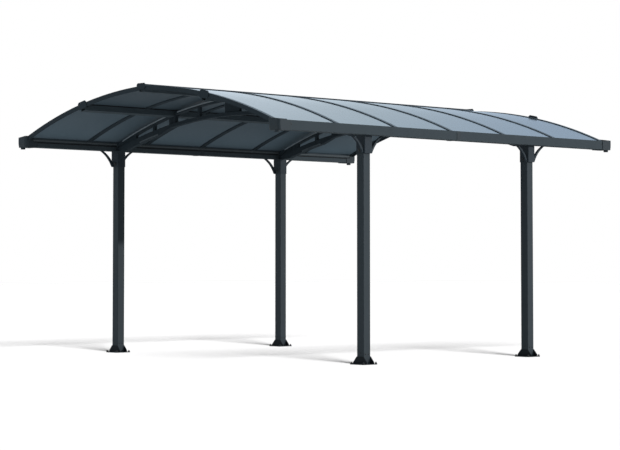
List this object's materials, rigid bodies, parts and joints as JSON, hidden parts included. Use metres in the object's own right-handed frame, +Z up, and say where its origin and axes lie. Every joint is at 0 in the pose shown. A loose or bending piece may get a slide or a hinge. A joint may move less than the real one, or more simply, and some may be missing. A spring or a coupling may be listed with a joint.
{
  "type": "open canopy with an arched roof",
  "caption": "Free-standing open canopy: square posts in flared shoes carry gutters, arched trusses and a tinted arched roof on glazing bars.",
  "frame": {"origin": "on the ground, under the middle of the roof", "axes": "+X along the eaves towards the rear end, +Y across towards the left eave, +Z up"},
  "size_m": [4.392, 3.618, 2.4514],
  "materials": {
    "frame_coating": "anthracite powder coat on extruded aluminium, satin",
    "bracket_coating": "dark powder coat on pressed and cast metal, satin",
    "moulded_caps": "moulded dark grey plastic, fine satin",
    "roof_tint": "smoke-tinted polycarbonate sheet, smooth and glossy"
  },
  "bodies": {
    "root": {"front_left_post": "frame_coating", "front_left_post_shoe": "bracket_coating", "front_left_post_bracket": "bracket_coating", "front_left_gutter": "frame_coating", "front_left_gutter_end": "moulded_caps", "front_right_post": "frame_coating", "front_right_post_shoe": "bracket_coating", "front_right_post_bracket": "bracket_coating", "front_right_gutter": "frame_coating", "front_right_gutter_end": "moulded_caps", "rear_left_post": "frame_coating", "rear_left_post_shoe": "bracket_coating", "rear_left_post_bracket": "bracket_coating", "rear_left_gutter": "frame_coating", "rear_left_gutter_end": "moulded_caps", "rear_right_post": "frame_coating", "rear_right_post_shoe": "bracket_coating", "rear_right_post_bracket": "bracket_coating", "rear_right_gutter": "frame_coating", "rear_right_gutter_end": "moulded_caps", "gutter_joiners": "moulded_caps", "front_truss_upper_chord": "frame_coating", "front_truss_lower_chord": "frame_coating", "front_truss_struts": "frame_coating", "rear_truss_upper_chord": "frame_coating", "rear_truss_lower_chord": "frame_coating", "rear_truss_struts": "frame_coating", "ridge_purlin": "frame_coating", "left_purlin": "frame_coating", "right_purlin": "frame_coating", "ridge_cap": "frame_coating", "purlin_end_caps": "moulded_caps", "front_end_bar": "frame_coating", "glazing_bar_1": "frame_coating", "glazing_bar_2": "frame_coating", "glazing_bar_3": "frame_coating", "glazing_bar_4": "frame_coating", "glazing_bar_5": "frame_coating", "rear_end_bar": "frame_coating", "roof_panel_1": "roof_tint", "roof_panel_2": "roof_tint", "roof_panel_3": "roof_tint", "roof_panel_4": "roof_tint", "roof_panel_5": "roof_tint", "roof_panel_6": "roof_tint"}
  },
  "joints": []
}
